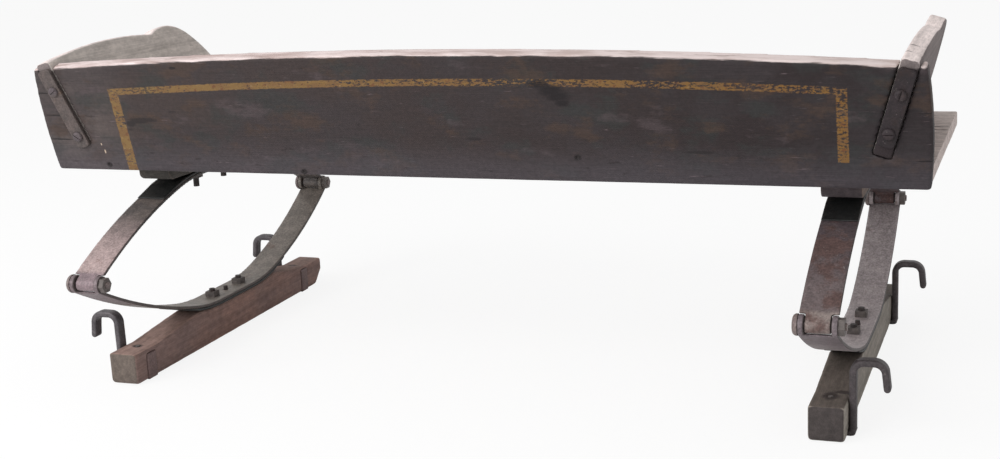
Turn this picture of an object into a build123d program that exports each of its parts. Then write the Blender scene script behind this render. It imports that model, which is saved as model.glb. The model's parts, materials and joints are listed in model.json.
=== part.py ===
"""Sprung wagon seat bench: a raked backboard and splayed side panels on a two plank seat,
carried by two full elliptic leaf springs on hooked wooden runners.

Frame: +X to the right, +Y the way the sitter faces, +Z up, in millimetres.
The origin is on the floor, midway between the runners and midway between the spring eyes.
"""
from math import atan, atan2, cos, degrees, radians, sin, sqrt, tan
import os

from build123d import *

os.makedirs("parts", exist_ok=True)

# ---------------------------------------------------------------- driving dimensions
bench_length = 1080.0        # seat and backboard, end to end
seat_depth = 390.0           # backboard's rear bottom edge to the seat's front edge
seat_thickness = 19.0
plank_joint_lead = 20.0      # joint between the planks, ahead of the front clamp bolts
plank_gap = 1.5              # shrinkage gap between the two seat planks
board_edge_round = 1.5       # worn arris on the boards

back_thickness = 20.0
back_rake = 15.0             # degrees back from upright
back_end_height = 138.0      # along the board, at its ends
back_crown = 17.0            # extra height in the middle
back_drop = 3.5              # bottom edge below the seat's underside
back_end_bulge = 2.5         # the ends bow outwards
back_end_tuck = 3.0          # and come in again at the top corners
back_edge_round = 2.5

panel_thickness = 20.0
panel_splay = 16.6           # degrees outwards from upright
panel_foot_offset = 46.0     # middle of the panel where it stands on the seat, outside the spring
panel_height = 132.5         # along the panel, where its top dips
panel_rear_fall = 9.0        # the top is this much lower at the back
panel_top_bow = 4.5          # and bows up this much above the dip on its way there
panel_crest_rise = 6.5       # rounded crest ahead of the dip
panel_dip_setback = 192.0    # behind the seat's front edge, as the next two
panel_crest_setback = 139.0
panel_nose_setback = 94.0
panel_nose_drop = 15.0
panel_front_swell = 15.0     # the front edge bows forwards of a straight line
panel_setback = 22.0         # foot behind the seat's front edge
slot_depth = 100.0           # slots for the panels' tongues, down from the board's top corners
tongue_clearance = 0.4
shoulder_clearance = 1.0     # the panel leans, so its shoulder stands just off the board
panel_edge_round = 3.0
panel_dip_round = 6.0        # softens the dip of its top
panel_nose_round = 25.0      # and the nose

strap_width = 19.0
strap_thickness = 5.0
strap_corner_round = 5.0
left_strap_length = 108.0
right_strap_length = 90.0
strap_screw_inset = 29.0     # top screw below the strap's top end
strap_screw_rise = 16.0      # bottom screw above the strap's lower end
strap_screw_radius = 3.0
strap_screw_length = 40.0
strap_screw_head_radius = 6.5
strap_screw_head_height = 3.5
screw_clearance = 0.1

spring_inset = 100.0         # middle of each spring and runner, in from the bench's end
leaf_width = 41.0
leaf_thickness = 4.2
helper_thickness = 3.6
helper_half_length = {"lower": 140.0, "upper": 148.0}
helper_tip_thickness = 1.5
helper_tip_taper = 36.0
leaf_gap = 0.05              # paint film between the main leaf and its helper
spring_opening = 179.4       # between the main leaves at their clamps
rear_eye_rise = 91.5         # bolt axis above the lower clamp
front_eye_rise = 97.0
eye_span = 596.0             # between the rear and front bolt axes
clamp_shift = 14.0           # lower clamp ahead of the middle of the eyes
clamp_half = 44.0            # flat part of each leaf, either side of its clamp
bend_run = 61.0
bend_share = 0.68            # slope where the bend ends, against the straight line to the eye
eye_wrap = 292.0             # degrees of roll round the bolt
ear_radius = 11.2            # the lower leaf's forked eyes, rolled round a bush
knuckle_width = 27.0         # the upper leaf's single eye
knuckle_clearance = 0.5
knuckle_relief = 0.8         # room round the ears
bush_bite = 0.3              # how far the bush is welded into the roll

dome_share = 0.8             # how much of a bolt head's height is rounded
eye_bolt_radius = 4.0
bolt_clearance = 0.1
eye_head_radius = 11.5
eye_head_height = 5.5
eye_nut_flats = 17.0
eye_nut_height = 6.5
eye_bolt_end = 2.0           # bolt beyond its nut

clamp_bolt_radius = 4.0
clamp_bolt_spacing = 36.0    # from the clamp's middle
clamp_head_radius = 9.5
clamp_head_height = 4.0
clamp_nut_side = 14.0
clamp_nut_height = 7.5
lower_bolt_end = 3.5
upper_bolt_end = 12.0
centre_bolt_radius = 3.0
centre_head_radius = 5.5
centre_head_height = 4.5
centre_tail_height = 5.0     # riveted over on the hollow side

cleat_width = 46.0
cleat_thickness = 28.0
cleat_rear_inset = 60.0      # ahead of the backboard's rear bottom edge
cleat_front_inset = 30.0     # behind the seat's front edge
cleat_corner_round = 12.0

runner_width = 40.0
runner_rear_overhang = 36.0  # beyond the middle of the hook irons
runner_front_overhang = 58.0
runner_saddle_height = 47.0  # floor to the hollow that the spring sits in
runner_crest_half = 100.0    # crests either side of the clamp
runner_crest_clearance = 0.8 # between a crest and the helper leaf that bends up off it
runner_rear_height = 41.0
runner_front_height = 38.0
runner_shoulder = 52.0       # level stretch at each end
runner_toe_cut = 20.0        # bevel under the front end
runner_round = 4.0
runner_end_round = 7.0

hook_y = 211.0
hook_bar = 8.0               # thickness, across the runner
hook_width = 15.0            # along the runner
hook_top = 86.0
hook_mouth = 25.0            # between the shank and the tip
hook_tip_z = 50.0
hook_bend_radius = 12.0      # to the middle of the bar
hook_tip_flare = 3.0
hook_round = 2.5
hook_strap_width = 20.0
hook_strap_thickness = 5.0
hook_heel_round = 4.5        # where the shank turns in under the runner
hook_tab_height = 34.0
hook_tab_proud = 0.8         # the tab stands this much out of its groove
hook_seat_gap = 0.2
hook_rivet_radius = 3.0
rivet_clearance = 0.1

# ---------------------------------------------------------------- levels and planes
lower_helper_z = runner_saddle_height
lower_leaf_z = lower_helper_z + helper_thickness + leaf_gap
lower_face_z = lower_leaf_z + leaf_thickness
eye_z = {-1: lower_face_z + rear_eye_rise, 1: lower_face_z + front_eye_rise}
upper_face_z = lower_face_z + spring_opening
upper_leaf_z = upper_face_z + leaf_thickness
cleat_bottom_z = upper_leaf_z + leaf_gap + helper_thickness
seat_bottom_z = cleat_bottom_z + cleat_thickness
seat_top_z = seat_bottom_z + seat_thickness
half_length = bench_length / 2
seat_front_y = seat_depth / 2
back_y = -seat_depth / 2
back_z = seat_bottom_z - back_drop
rake = radians(back_rake)
splay = radians(panel_splay)
tongue_height = back_end_height - slot_depth     # the board stays whole below its slots
strap_length = {"left": left_strap_length, "right": right_strap_length}
eye_bore = eye_bolt_radius + bolt_clearance
# the roll's inner radius: round a bush in the lower leaf, and round the bolt itself in the upper
roll_radius = {"lower": ear_radius - leaf_thickness, "upper": eye_bore}
spring_x = half_length - spring_inset
panel_foot_x = spring_x + panel_foot_offset
panel_dip_y = seat_front_y - panel_dip_setback
panel_crest_y = seat_front_y - panel_crest_setback
panel_nose_y = seat_front_y - panel_nose_setback
joint_y = clamp_bolt_spacing + plank_joint_lead
cleat_rear_y = back_y + cleat_rear_inset
cleat_front_y = seat_front_y - cleat_front_inset
runner_rear_y = -hook_y - runner_rear_overhang
runner_front_y = hook_y + runner_front_overhang
sides = {"left": -1, "right": 1}
ends = {"rear": -1, "front": 1}

# the backboard's rear face: X along the board, Y up its rake, Z out of its back
back_plane = Plane(origin=(0, back_y, back_z), x_dir=(1, 0, 0), z_dir=(0, -cos(rake), -sin(rake)))


def back_face_y(z, depth):
    """Y of the plane that lies a given depth inside the backboard's rear face, at height z."""
    return back_y + depth / cos(rake) - (z - back_z) * tan(rake)


def panel_plane(side):
    """Middle plane of a side panel: X forwards, Y up its splay, from the seat's top."""
    return Plane(
        origin=(side * panel_foot_x, 0, seat_top_z),
        x_dir=(0, 1, 0),
        z_dir=(cos(splay), 0, -side * sin(splay)),
    )


def strap_tilt_x(height):
    """X of the panel's middle, on the backboard's rear face, at a height along the board."""
    z = back_z + height * cos(rake)
    return panel_foot_x + (z - seat_top_z) * tan(splay)


strap_slope = atan(strap_tilt_x(1) - strap_tilt_x(0))


def strap_point(side, from_top):
    """A point on the strap's middle line, in the backboard's plane."""
    run = from_top * sin(strap_slope)
    rise = from_top * cos(strap_slope)
    return (side * (strap_tilt_x(back_end_height) - run), back_end_height - rise)


def screw_points(name, side):
    """The two screws of one strap, in the backboard's plane."""
    drops = (strap_screw_inset, strap_length[name] - strap_screw_rise)
    return [strap_point(side, drop) for drop in drops]


def screw_locations(name, side, height):
    """Where the strap's screws enter, at a height above the backboard's rear face."""
    plane = back_plane.offset(height)
    return [plane.location * Location(point + (0,)) for point in screw_points(name, side)]


def finish(builder, label):
    """Name a finished piece and write it."""
    builder.part.label = label
    export_step(builder.part, f"parts/{label}.step")


# ---------------------------------------------------------------- seat planks
with BuildPart() as seat_plank_front:
    with BuildSketch(Plane.XY.offset(seat_bottom_z)):
        with Locations((0, joint_y)):
            Rectangle(bench_length, seat_front_y - joint_y, align=(Align.CENTER, Align.MIN))
    extrude(amount=seat_thickness)
    fillet(seat_plank_front.edges().filter_by(Axis.X), board_edge_round)
finish(seat_plank_front, "seat_plank_front")

with BuildPart() as seat_plank_rear:
    with BuildSketch(Plane.YZ) as rear_section:
        with BuildLine():
            Polyline(
                (joint_y - plank_gap, seat_bottom_z),
                (joint_y - plank_gap, seat_top_z),
                (back_face_y(seat_top_z, back_thickness), seat_top_z),
                (back_face_y(seat_bottom_z, back_thickness), seat_bottom_z),
                close=True,
            )
        make_face()
    extrude(amount=half_length, both=True)
    fillet(seat_plank_rear.edges().filter_by(Axis.X).group_by(Axis.Y)[-1], board_edge_round)
    with Locations(*[
        Plane.XY.offset(seat_top_z).location * Location((side * spring_x, end * clamp_bolt_spacing, 0))
        for side in sides.values()
        for end in ends.values()
    ]):
        Hole(clamp_bolt_radius + bolt_clearance)
finish(seat_plank_rear, "seat_plank_rear")

# ---------------------------------------------------------------- backboard
with BuildPart() as backboard:
    with BuildSketch(back_plane):
        with BuildLine():
            bottom = Line((-half_length, 0), (half_length, 0))
            right_top = (half_length - back_end_tuck, back_end_height)
            left_top = (-half_length + back_end_tuck, back_end_height)
            bulge_x = half_length + back_end_bulge
            ThreePointArc(bottom @ 1, (bulge_x, back_end_height / 2), right_top)
            Bezier(right_top, (0, back_end_height + 2 * back_crown), left_top)
            ThreePointArc(left_top, (-bulge_x, back_end_height / 2), bottom @ 0)
        make_face()
    extrude(amount=-back_thickness)
    fillet(backboard.edges(), back_edge_round)
    for side in sides.values():
        # open topped slot that the side panel's tongue passes through
        slot_foot = (back_z + tongue_height * cos(rake) - seat_top_z) / cos(splay)
        with BuildSketch(panel_plane(side)):
            with Locations((back_y, slot_foot)):
                Rectangle(3 * back_thickness + back_end_height, 2 * back_end_height,
                          align=(Align.CENTER, Align.MIN))
        extrude(amount=panel_thickness / 2 + tongue_clearance, both=True, mode=Mode.SUBTRACT)
finish(backboard, "backboard")

# ---------------------------------------------------------------- side panels
for name, side in sides.items():
    plane = panel_plane(side)

    def on_back(height, depth):
        """The outline's point on a plane inside the backboard, at a height up the panel."""
        return (back_face_y(seat_top_z + height * cos(splay), depth), height)

    tongue_foot = (back_z + tongue_height * cos(rake) - seat_top_z) / cos(splay) + tongue_clearance
    rear_height = panel_height - panel_rear_fall
    dip = (panel_dip_y, panel_height)
    crest = (panel_crest_y, panel_height + panel_crest_rise)
    nose = (panel_nose_y, panel_height - panel_nose_drop)
    foot = (seat_front_y - panel_setback, 0)
    shoulder_depth = back_thickness + shoulder_clearance
    front_middle = ((nose[0] + foot[0]) / 2 + panel_front_swell, nose[1] / 2)
    with BuildPart() as side_panel:
        with BuildSketch(plane) as profile:
            with BuildLine():
                Polyline(
                    foot,
                    (foot[0], -panel_thickness),
                    on_back(-panel_thickness, shoulder_depth),
                    on_back(tongue_foot, shoulder_depth),
                    on_back(tongue_foot, 0),
                    on_back(rear_height, 0),
                )
                top_middle = (panel_dip_y / 2 + back_y / 2, panel_height + panel_top_bow)
                ThreePointArc(on_back(rear_height, 0), top_middle, dip)
                ThreePointArc(dip, crest, nose)
                ThreePointArc(nose, front_middle, foot)
            make_face()
            for point, corner_round in ((dip, panel_dip_round), (nose, panel_nose_round)):
                fillet(profile.vertices().sort_by_distance(point)[0], corner_round)
        extrude(amount=panel_thickness / 2, both=True)
        fillet(side_panel.edges().filter_by(GeomType.CIRCLE), panel_edge_round)
        # stand it on the seat, and trim its tongue flush with the board's back
        split(bisect_by=Plane.XY.offset(seat_top_z), keep=Keep.TOP)
        split(bisect_by=back_plane, keep=Keep.BOTTOM)
        with Locations(*screw_locations(name, side, 0)):
            Hole(strap_screw_radius + screw_clearance, depth=strap_screw_length)
    finish(side_panel, f"side_panel_{name}")

# ---------------------------------------------------------------- corner straps
for name, side in sides.items():
    with BuildPart() as strap:
        with BuildSketch(back_plane):
            with Locations(Location(strap_point(side, strap_length[name] / 2) + (0,),
                                    (0, 0, -side * degrees(strap_slope)))):
                Rectangle(strap_width, strap_length[name])
        extrude(amount=strap_thickness)
        fillet(strap.edges().filter_by(Axis(back_plane.origin, back_plane.z_dir)), strap_corner_round)
        with Locations(*screw_locations(name, side, strap_thickness)):
            Hole(strap_screw_radius + screw_clearance)
    finish(strap, f"strap_{name}")

with BuildPart() as strap_screws:
    heads_plane = back_plane.offset(strap_thickness)
    spots = [spot for name, side in sides.items() for spot in screw_points(name, side)]
    with BuildSketch(heads_plane):
        with Locations(*spots):
            Circle(strap_screw_radius)
    extrude(amount=-strap_screw_length)
    with BuildSketch(heads_plane):
        with Locations(*spots):
            Circle(strap_screw_head_radius)
    extrude(amount=strap_screw_head_height)
    rim = strap_screws.edges().filter_by(GeomType.CIRCLE).sort_by(Axis(heads_plane.origin, heads_plane.z_dir))
    fillet(rim[-len(spots):], strap_screw_head_height * dome_share)
finish(strap_screws, "strap_screws")

# ---------------------------------------------------------------- cleats under the seat
for name, side in sides.items():
    with BuildPart() as cleat:
        with BuildSketch(Plane.YZ.offset(side * spring_x)):
            with BuildLine():
                Polyline(
                    (cleat_rear_y, seat_bottom_z),
                    (cleat_front_y, seat_bottom_z),
                    (cleat_front_y, cleat_bottom_z),
                    (cleat_rear_y, cleat_bottom_z),
                    close=True,
                )
            section = make_face()
            fillet(section.vertices().group_by(Axis.Z)[0], cleat_corner_round)
        extrude(amount=cleat_width / 2, both=True)
        with Locations(*[(side * spring_x, end * clamp_bolt_spacing, seat_bottom_z) for end in ends.values()]):
            Hole(clamp_bolt_radius + bolt_clearance)
        # pocket for the head of the bolt that holds the two leaves together
        pocket_depth = centre_head_height + bolt_clearance
        with Locations((side * spring_x, 0, cleat_bottom_z + pocket_depth)):
            Hole(centre_head_radius + bolt_clearance, depth=pocket_depth)
    finish(cleat, f"cleat_{name}")

# ---------------------------------------------------------------- leaf springs


def bend_slope(clamp_y, level, end):
    """Slope of a main leaf where its bend ends, in radians."""
    run = eye_span / 2 - clamp_half - end * clamp_y
    return bend_share * atan2(abs(eye_z[end] - level), run)


def half_leaf(clamp_y, level, up, roll, end, depth):
    """One half of a leaf, from its clamp to its rolled eye, at a depth below its hollow face.

    The clamp is flat, the bend leaves it along its tangent, and the arm is the arc that leaves the
    bend along its tangent and meets the roll's inside, so that the eye rolls on smoothly.
    Returns the clamp's end, the bend's end, the arm's end, the bend's closing tangent and the eye.
    """
    eye = Vector(end * eye_span / 2, eye_z[end])
    clamp_end = Vector(clamp_y + end * clamp_half, level)
    slope = bend_slope(clamp_y, level, end)
    bend_end = clamp_end + Vector(end * bend_run, up * bend_run * tan(slope / 2))
    inward = Vector(-end * sin(slope), up * cos(slope))
    reach = bend_end - eye
    arm_radius = (roll**2 - reach.length**2) / (2 * (reach.dot(inward) + roll))
    middle = bend_end + inward * arm_radius
    spoke = (eye - middle).normalized()
    return (
        clamp_end - Vector(0, up) * depth,
        bend_end - inward * depth,
        eye + spoke * (roll + depth),
        (end * cos(slope), up * sin(slope)),
        eye,
    )


def leaf_face(clamp_y, level, up, roll, end, depth):
    """Draw one half of a leaf's face at a depth below its hollow face, and return its far end."""
    clamp_end, bend_end, arm_end, tangent, eye = half_leaf(clamp_y, level, up, roll, end, depth)
    Line((clamp_y, level - up * depth), clamp_end)
    TangentArc(clamp_end, bend_end, tangent=(end, 0))
    TangentArc(bend_end, arm_end, tangent=tangent)
    return arm_end, eye


def rolled_leaf(clamp_y, level, up, roll):
    """Outline of a main leaf with an eye rolled at each end, towards its hollow side."""
    for end in ends.values():
        lips = []
        for depth in (0, leaf_thickness):
            arm_end, eye = leaf_face(clamp_y, level, up, roll, end, depth)
            spoke = arm_end - eye
            start = degrees(atan2(spoke.Y, spoke.X))
            wrap = CenterArc((eye.X, eye.Y), spoke.length, start, end * up * eye_wrap)
            lips.append(wrap @ 1)
        Line(*lips)


def helper_outline(clamp_y, level, up, roll):
    """Outline of the shorter leaf that lies on a main leaf's back, before it is cut to length."""
    for end in ends.values():
        tips = [
            leaf_face(clamp_y, level, up, roll, end, depth)[0]
            for depth in (leaf_thickness + leaf_gap, leaf_thickness + leaf_gap + helper_thickness)
        ]
        Line(*tips)


def bolt_spots(side, clamp_y):
    """The two clamp bolts of one spring, seen from above."""
    return [(side * spring_x, clamp_y + end * clamp_bolt_spacing) for end in ends.values()]


# name of the half, its clamp's Y, height of its hollow face, and which way the hollow looks
halves = {
    "lower": (clamp_shift, lower_face_z, 1),
    "upper": (0, upper_face_z, -1),
}

for half, (clamp_y, level, up) in halves.items():
    roll = roll_radius[half]
    for name, side in sides.items():
        eyes = [(end * eye_span / 2, eye_z[end]) for end in ends.values()]
        with BuildPart() as main_leaf:
            with BuildSketch(Plane.YZ.offset(side * spring_x)):
                with BuildLine():
                    rolled_leaf(clamp_y, level, up, roll)
                make_face()
            extrude(amount=leaf_width / 2, both=True)
            # the lower leaf's eyes are forked, and the upper leaf's eye goes between the ears
            if half == "lower":
                with BuildSketch(Plane.YZ.offset(side * spring_x)):
                    with Locations(*eyes):
                        Circle(roll + bush_bite)
                        Circle(eye_bore, mode=Mode.SUBTRACT)
                extrude(amount=leaf_width / 2, both=True)
            with BuildSketch(Plane.YZ.offset(side * spring_x)):
                with Locations(*eyes):
                    Circle(ear_radius + knuckle_relief)
                if half == "lower":
                    # an arm loses only what the other leaf's eye needs
                    for end in ends.values():
                        arm_end, eye = half_leaf(clamp_y, level, up, roll, end, 0)[2::2]
                        spoke = arm_end - eye
                        start = atan2(spoke.Y, spoke.X)
                        rims = [
                            eye + Vector(cos(angle), sin(angle)) * 3 * ear_radius
                            for angle in (start - end * up * radians(10), start - end * up * radians(70))
                        ]
                        with BuildLine():
                            Polyline(eye, *rims, close=True)
                        make_face(mode=Mode.SUBTRACT)
                    with Locations(*eyes):
                        Circle(eye_bore + leaf_thickness + knuckle_relief)
            if half == "lower":
                extrude(amount=knuckle_width / 2 + knuckle_clearance, both=True, mode=Mode.SUBTRACT)
            else:
                extrude(amount=leaf_width, both=True, mode=Mode.SUBTRACT)
                with BuildSketch(Plane.YZ.offset(side * spring_x)):
                    with BuildLine():
                        rolled_leaf(clamp_y, level, up, roll)
                    make_face()
                extrude(amount=knuckle_width / 2, both=True)
            with Locations(*[spot + (level + leaf_thickness,) for spot in bolt_spots(side, clamp_y)]):
                Hole(clamp_bolt_radius + bolt_clearance, depth=3 * leaf_thickness)
            with Locations((side * spring_x, clamp_y, level + leaf_thickness)):
                Hole(centre_bolt_radius + bolt_clearance, depth=3 * leaf_thickness)
        finish(main_leaf, f"{half}_leaf_{name}")

        with BuildPart() as helper_leaf:
            with BuildSketch(Plane.YZ.offset(side * spring_x)):
                with BuildLine():
                    helper_outline(clamp_y, level, up, roll)
                make_face()
                with Locations((clamp_y, level)):
                    Rectangle(2 * helper_half_length[half], eye_span, mode=Mode.INTERSECT)
            extrude(amount=leaf_width / 2, both=True)
            tips = helper_leaf.faces().filter_by(GeomType.PLANE).sort_by(Axis.Y)
            for tip in (tips[0], tips[-1]):
                arris = tip.edges().filter_by(Axis.X).sort_by(Axis.Z)[0 if up > 0 else -1]
                chamfer(arris, helper_thickness - helper_tip_thickness, helper_tip_taper,
                        reference=tip)
            with Locations(*[spot + (level + 2 * leaf_thickness,) for spot in bolt_spots(side, clamp_y)]):
                Hole(clamp_bolt_radius + bolt_clearance, depth=6 * leaf_thickness)
            with Locations((side * spring_x, clamp_y, level + 3 * leaf_thickness)):
                Hole(centre_bolt_radius + bolt_clearance, depth=6 * leaf_thickness)
        finish(helper_leaf, f"{half}_helper_leaf_{name}")

# ---------------------------------------------------------------- bolts through the spring eyes


def eye_plane(end, side):
    """Plane under the head of an eye's bolt. All four are put in from the left, and Z points there."""
    left_x = side * spring_x - leaf_width / 2
    return Plane(origin=(left_x, end * eye_span / 2, eye_z[end]), x_dir=(0, 1, 0), z_dir=(-1, 0, 0))


for end_name, end in ends.items():
    for name, side in sides.items():
        bolt_axis = Axis(eye_plane(end, side).origin, (-1, 0, 0))
        with BuildPart() as eye_bolt:
            with BuildSketch(eye_plane(end, side)):
                Circle(eye_head_radius)
            extrude(amount=eye_head_height)
            fillet(eye_bolt.edges().sort_by(bolt_axis)[-1], eye_head_height * dome_share)
            with BuildSketch(eye_plane(end, side)):
                Circle(eye_bolt_radius)
            extrude(amount=-leaf_width - eye_nut_height - eye_bolt_end)
        finish(eye_bolt, f"eye_bolt_{end_name}_{name}")

with BuildPart() as eye_nuts:
    for end in ends.values():
        for side in sides.values():
            with BuildSketch(eye_plane(end, side).offset(-leaf_width)):
                RegularPolygon(eye_nut_flats / 2, 6, major_radius=False)
                Circle(eye_bore, mode=Mode.SUBTRACT)
            extrude(amount=-eye_nut_height)
finish(eye_nuts, "eye_nuts")

# ---------------------------------------------------------------- bolts that clamp the springs
lower_spots = [spot for side in sides.values() for spot in bolt_spots(side, clamp_shift)]
upper_spots = [spot for side in sides.values() for spot in bolt_spots(side, 0)]
runner_recess = clamp_head_height + hook_seat_gap
lower_nut_z = lower_face_z
upper_nut_z = upper_face_z - clamp_nut_height
# name of the set, places, head's outer level, direction of the head, nut's underside, thread's end
clamp_sets = {
    "lower": (lower_spots, hook_seat_gap, -1, lower_nut_z, lower_nut_z + clamp_nut_height + lower_bolt_end),
    "upper": (upper_spots, seat_top_z + clamp_head_height, 1, upper_nut_z, upper_nut_z - upper_bolt_end),
}

for half, (spots, head_z, outwards, nut_z, end_z) in clamp_sets.items():
    with BuildPart() as clamp_bolts:
        with BuildSketch(Plane.XY.offset(head_z)):
            with Locations(*spots):
                Circle(clamp_head_radius)
        extrude(amount=-outwards * clamp_head_height)
        rims = clamp_bolts.edges().group_by(Axis.Z)[0 if outwards < 0 else -1]
        fillet(rims, clamp_head_height * dome_share)
        with BuildSketch(Plane.XY.offset(min(head_z, end_z))):
            with Locations(*spots):
                Circle(clamp_bolt_radius)
        extrude(amount=abs(head_z - end_z) - (clamp_head_height * dome_share if outwards > 0 else 0))
    finish(clamp_bolts, f"{half}_clamp_bolts")

    with BuildPart() as clamp_nuts:
        with BuildSketch(Plane.XY.offset(nut_z)):
            with Locations(*spots):
                Rectangle(clamp_nut_side, clamp_nut_side)
                Circle(clamp_bolt_radius + bolt_clearance, mode=Mode.SUBTRACT)
        extrude(amount=clamp_nut_height)
    finish(clamp_nuts, f"{half}_clamp_nuts")

# short bolts that hold each main leaf to its helper, their heads let into the cleat or the runner
for half, (clamp_y, level, up) in halves.items():
    back_level = level - up * (leaf_thickness + leaf_gap + helper_thickness)
    with BuildPart() as centre_bolts:
        with BuildSketch(Plane.XY.offset(back_level)):
            with Locations(*[(side * spring_x, clamp_y) for side in sides.values()]):
                Circle(centre_head_radius)
        extrude(amount=-up * centre_head_height)
        with BuildSketch(Plane.XY.offset(back_level)):
            with Locations(*[(side * spring_x, clamp_y) for side in sides.values()]):
                Circle(centre_bolt_radius)
        extrude(amount=up * (abs(level - back_level) + centre_tail_height))
    finish(centre_bolts, f"{half}_centre_bolts")

# ---------------------------------------------------------------- runners
def runner_crest(end):
    """The crest ahead of or behind the spring, just under the lower helper leaf's back."""
    back_radius = bend_run / sin(bend_slope(clamp_shift, lower_face_z, end)) + lower_face_z - lower_helper_z
    run = runner_crest_half - clamp_half
    rise = back_radius - sqrt(back_radius**2 - run**2)
    return (clamp_shift + end * runner_crest_half, lower_helper_z + rise - runner_crest_clearance)


for name, side in sides.items():
    with BuildPart() as runner:
        with BuildSketch(Plane.YZ.offset(side * spring_x)):
            with BuildLine():
                hollow_rear = (clamp_shift - clamp_half, runner_saddle_height)
                hollow_front = (clamp_shift + clamp_half, runner_saddle_height)
                Polyline(
                    runner_crest(-1),
                    (runner_rear_y + runner_shoulder, runner_rear_height),
                    (runner_rear_y, runner_rear_height),
                    (runner_rear_y, 0),
                    (runner_front_y - runner_toe_cut, 0),
                    (runner_front_y, runner_toe_cut),
                    (runner_front_y, runner_front_height),
                    (runner_front_y - runner_shoulder, runner_front_height),
                    runner_crest(1),
                )
                TangentArc(hollow_front, runner_crest(1), tangent=(1, 0))
                TangentArc(hollow_rear, runner_crest(-1), tangent=(-1, 0))
                Line(hollow_rear, hollow_front)
            section = make_face()
            fillet(section.vertices().group_by(Axis.Y)[0], runner_end_round)
            fillet(section.vertices().group_by(Axis.Y)[-1], runner_end_round)
        extrude(amount=runner_width / 2, both=True)
        fillet(runner.faces().filter_by(Axis.X).edges(), runner_round)
        # grooves for the hook straps, and recesses for the clamp bolts' heads
        with BuildSketch(Plane.XY):
            with Locations(*[(side * spring_x, end * hook_y) for end in ends.values()]):
                Rectangle(2 * runner_width, hook_strap_width + 2 * hook_seat_gap)
        extrude(amount=hook_strap_thickness + hook_seat_gap, mode=Mode.SUBTRACT)
        groove_x = side * (spring_x - runner_width / 2 - hook_tab_proud + hook_strap_thickness + hook_seat_gap)
        with BuildSketch(Plane.XY):
            with Locations(*[(groove_x, end * hook_y) for end in ends.values()]):
                Rectangle(runner_width, hook_strap_width + 2 * hook_seat_gap,
                          align=(Align.MAX if side > 0 else Align.MIN, Align.CENTER))
        extrude(amount=hook_tab_height + hook_seat_gap, mode=Mode.SUBTRACT)
        with Locations(*[spot + (lower_face_z,) for spot in bolt_spots(side, clamp_shift)]):
            Hole(clamp_bolt_radius + bolt_clearance)
        with Locations(*[spot + (runner_recess,) for spot in bolt_spots(side, clamp_shift)]):
            Hole(clamp_head_radius + hook_seat_gap, depth=runner_recess)
        with Locations((side * spring_x, clamp_shift, runner_saddle_height)):
            Hole(centre_head_radius + bolt_clearance, depth=centre_head_height + bolt_clearance)
        with Locations(*[(side * spring_x, end * hook_y, lower_face_z) for end in ends.values()]):
            Hole(hook_rivet_radius + rivet_clearance)
    finish(runner, f"runner_{name}")

# ---------------------------------------------------------------- hook irons
outer_face_x = spring_x + runner_width / 2
for end_name, end in ends.items():
    for name, side in sides.items():
        # seen along the runner, with X measured outwards from the middle of the bench
        hook_plane = Plane(origin=(0, end * hook_y, 0), x_dir=(side, 0, 0), z_dir=(0, -side, 0))
        shank_x = outer_face_x + hook_seat_gap + hook_bar / 2
        tip_x = shank_x + hook_mouth + hook_bar
        with BuildPart() as hook:
            with BuildSketch(hook_plane):
                with BuildLine():
                    FilletPolyline(
                        (shank_x, hook_bar / 2),
                        (shank_x, hook_top - hook_bar / 2),
                        (tip_x, hook_top - hook_bar / 2),
                        (tip_x + hook_tip_flare, hook_tip_z + hook_bar / 2),
                        radius=hook_bend_radius,
                    )
                    offset(amount=hook_bar / 2)
                make_face()
            extrude(amount=hook_width / 2, both=True)
            fillet(hook.faces().filter_by(Axis.Y).edges(), hook_round)
            # the shank's foot is drawn out flat, let in under the runner and up its inner face
            inner_face_x = outer_face_x - runner_width
            strap_outer_x = shank_x + hook_bar / 2
            strap_inner_x = inner_face_x - hook_tab_proud
            with BuildSketch(hook_plane):
                with BuildLine():
                    Polyline(
                        (strap_outer_x, 0),
                        (strap_inner_x, 0),
                        (strap_inner_x, hook_tab_height),
                        (strap_inner_x + hook_strap_thickness, hook_tab_height),
                        (strap_inner_x + hook_strap_thickness, hook_strap_thickness),
                        (strap_outer_x, hook_strap_thickness),
                        close=True,
                    )
                make_face()
            extrude(amount=hook_strap_width / 2, both=True)
            foot_edges = hook.edges().filter_by(Axis.Y).group_by(Axis.Z)[0].sort_by(Axis.X)
            fillet(foot_edges[-1 if side > 0 else 0], hook_heel_round)
            with Locations((side * spring_x, end * hook_y, hook_strap_thickness)):
                Hole(hook_rivet_radius + rivet_clearance, depth=2 * hook_strap_thickness)
        finish(hook, f"hook_{end_name}_{name}")

with BuildPart() as hook_rivets:
    for end, height in ((-1, runner_rear_height), (1, runner_front_height)):
        with BuildSketch(Plane.XY.offset(hook_seat_gap)):
            with Locations(*[(side * spring_x, end * hook_y) for side in sides.values()]):
                Circle(hook_rivet_radius)
        extrude(amount=height - hook_seat_gap)
finish(hook_rivets, "hook_rivets")
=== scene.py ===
"""The looks of a sprung wagon seat bench: worn paint, weathered wood and forged iron."""
import json
import math

import bpy
from mathutils import Euler, Matrix, Vector


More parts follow.
